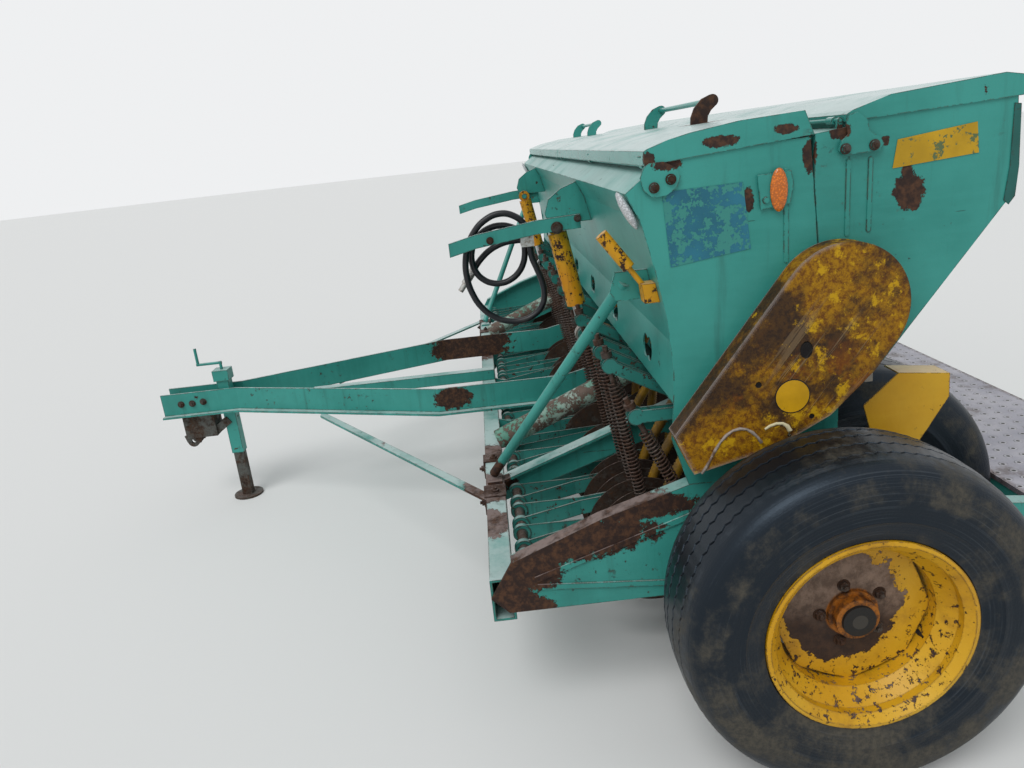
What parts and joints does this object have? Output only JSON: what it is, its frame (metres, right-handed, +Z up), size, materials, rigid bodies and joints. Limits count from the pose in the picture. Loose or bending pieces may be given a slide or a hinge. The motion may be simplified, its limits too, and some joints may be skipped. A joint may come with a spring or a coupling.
{
  "type": "towed seed drill",
  "caption": "Towed combined seed drill with seed and fertilizer boxes, lids, staggered wheel pairs, drawbar with jack, and disc coulters lifted by a turning shaft and cylinders.",
  "frame": {"origin": "on the ground, under the middle of the machine without its hoses", "axes": "+Z up, front (drawbar) at -Y, +X to the machine's left side"},
  "size_m": [3.924, 3.16, 1.439],
  "materials": {
    "painted_green": "weathered teal green paint with rust and scratches",
    "painted_lid": "weathered teal green paint, chalky on top",
    "rusty_guard": "yellow paint mostly gone to rust",
    "yellow_paint": "chipped yellow paint over rust",
    "dark_steel": "dull, dirty steel",
    "rusty_steel": "rusty spring steel",
    "bright_rod": "dull chrome",
    "grey_plate": "grey anti-slip plate",
    "cast_meter": "cast, dusty",
    "tube_plastic": "yellow ribbed hose",
    "zinc_fitting": "zinc plated steel, dull",
    "hose_rubber": "black hydraulic hose",
    "tyre": "worn black rubber"
  },
  "bodies": {
    "root": {"side_frame_left": "painted_green", "side_frame_right": "painted_green", "front_beam": "painted_green", "mid_beam": "painted_green", "rear_beam": "painted_green", "inner_rail_left": "painted_green", "inner_rail_right": "painted_green", "drawbar_left": "painted_green", "drawbar_right": "painted_green", "drawbar_centre": "painted_green", "drawbar_brace_left": "painted_green", "drawbar_brace_right": "painted_green", "hitch_block": "dark_steel", "jack_socket": "painted_green", "seed_box": "painted_green", "fertilizer_box": "painted_green", "seed_meters": "cast_meter", "fertilizer_meters": "cast_meter", "seed_tubes": "tube_plastic", "cylinder_bracket_left": "painted_green", "cylinder_bracket_right": "painted_green", "strut_left": "painted_green", "strut_right": "painted_green", "chain_guard_left": "rusty_guard", "chain_guard_right": "rusty_guard", "lower_guard_left": "yellow_paint", "lower_guard_right": "yellow_paint", "footboard": "grey_plate", "coulter_pivot_rod": "dark_steel", "support_tubes": "painted_green", "rate_spindle": "yellow_paint", "hose_block": "zinc_fitting", "hose_large": "hose_rubber", "hose_small": "hose_rubber", "hose_short": "hose_rubber", "hose_coupler": "zinc_fitting"},
    "wheel_outer_left": {"tyre_outer_left": "tyre", "rim_outer_left": "yellow_paint"},
    "wheel_outer_right": {"tyre_outer_right": "tyre", "rim_outer_right": "yellow_paint"},
    "wheel_inner_left": {"tyre_inner_left": "tyre", "rim_inner_left": "yellow_paint"},
    "wheel_inner_right": {"tyre_inner_right": "tyre", "rim_inner_right": "yellow_paint"},
    "seed_lid_left": {"seed_lid_left": "painted_lid"},
    "seed_lid_right": {"seed_lid_right": "painted_lid"},
    "fertilizer_lid_left": {"fertilizer_lid_left": "painted_lid"},
    "fertilizer_lid_right": {"fertilizer_lid_right": "painted_lid"},
    "jack_leg": {"jack_leg": "dark_steel"},
    "lift_shaft": {"lift_shaft": "dark_steel"},
    "cylinder_barrels": {"cylinder_barrels": "yellow_paint"},
    "cylinder_rods": {"cylinder_rods": "bright_rod"},
    "coulters": {"coulter_arms": "painted_green", "coulter_discs": "dark_steel"},
    "front_spring_rods": {"front_spring_rods": "rusty_steel", "front_springs": "rusty_steel"},
    "rear_spring_rods": {"rear_spring_rods": "rusty_steel", "rear_springs": "rusty_steel"}
  },
  "joints": [
    {"name": "wheel_outer_left_turn", "type": "hinge", "parent": "root", "child": "wheel_outer_left", "pos_m": [1.834, 0.53, 0.376], "axis": [1, 0, 0], "continuous": true},
    {"name": "wheel_inner_left_turn", "type": "hinge", "parent": "root", "child": "wheel_inner_left", "pos_m": [1.3, 0.755, 0.376], "axis": [1, 0, 0], "continuous": true},
    {"name": "seed_lid_left_open", "type": "hinge", "parent": "root", "child": "seed_lid_left", "pos_m": [0.822, 0.196, 1.303], "axis": [1, 0, 0], "range_deg": [0, 100]},
    {"name": "fertilizer_lid_left_open", "type": "hinge", "parent": "root", "child": "fertilizer_lid_left", "pos_m": [0.822, 0.583, 1.35], "axis": [1, 0, 0], "range_deg": [0, 100]},
    {"name": "wheel_outer_right_turn", "type": "hinge", "parent": "root", "child": "wheel_outer_right", "pos_m": [-1.834, 0.53, 0.376], "axis": [1, 0, 0], "continuous": true},
    {"name": "wheel_inner_right_turn", "type": "hinge", "parent": "root", "child": "wheel_inner_right", "pos_m": [-1.3, 0.755, 0.376], "axis": [1, 0, 0], "continuous": true},
    {"name": "seed_lid_right_open", "type": "hinge", "parent": "root", "child": "seed_lid_right", "pos_m": [-0.822, 0.196, 1.303], "axis": [1, 0, 0], "range_deg": [0, 100]},
    {"name": "fertilizer_lid_right_open", "type": "hinge", "parent": "root", "child": "fertilizer_lid_right", "pos_m": [-0.822, 0.583, 1.35], "axis": [1, 0, 0], "range_deg": [0, 100]},
    {"name": "jack_slide", "type": "slide", "parent": "root", "child": "jack_leg", "axis": [0, 0, 1], "range_m": [0, 0.19]},
    {"name": "lift_turn", "type": "hinge", "parent": "root", "child": "lift_shaft", "pos_m": [0, 0.295, 0.735], "axis": [1, 0, 0], "range_deg": [0, 38]},
    {"name": "coulter_swing", "type": "hinge", "parent": "root", "child": "coulters", "pos_m": [0, -0.13, 0.371], "axis": [1, 0, 0], "range_deg": [-9.01, 0], "deforming": ["seed_tubes"]},
    {"name": "front_rods_swing", "type": "hinge", "parent": "coulters", "child": "front_spring_rods", "pos_m": [0, 0.202, 0.4], "axis": [1, 0, 0], "range_deg": [0, 14.08], "deforming": ["front_springs"]},
    {"name": "rear_rods_swing", "type": "hinge", "parent": "coulters", "child": "rear_spring_rods", "pos_m": [0, 0.317, 0.4], "axis": [1, 0, 0], "range_deg": [0, 5.41], "deforming": ["rear_springs"]},
    {"name": "cylinder_swing", "type": "hinge", "parent": "root", "child": "cylinder_barrels", "pos_m": [0, 0.08, 1.115], "axis": [1, 0, 0], "range_deg": [-1.43, 0]},
    {"name": "cylinder_slide", "type": "slide", "parent": "cylinder_barrels", "child": "cylinder_rods", "axis": [0, 0.1826, -0.9832], "range_m": [0, 0.1]}
  ],
  "couplings": [
    {"joint": "coulter_swing", "follows": "lift_turn", "ratio": -0.23684},
    {"joint": "front_rods_swing", "follows": "lift_turn", "ratio": 0.37026},
    {"joint": "rear_rods_swing", "follows": "lift_turn", "ratio": 0.14211},
    {"joint": "cylinder_swing", "follows": "lift_turn", "ratio": -0.0375},
    {"joint": "cylinder_slide", "follows": "lift_turn", "m_per_rad": 0.15}
  ]
}
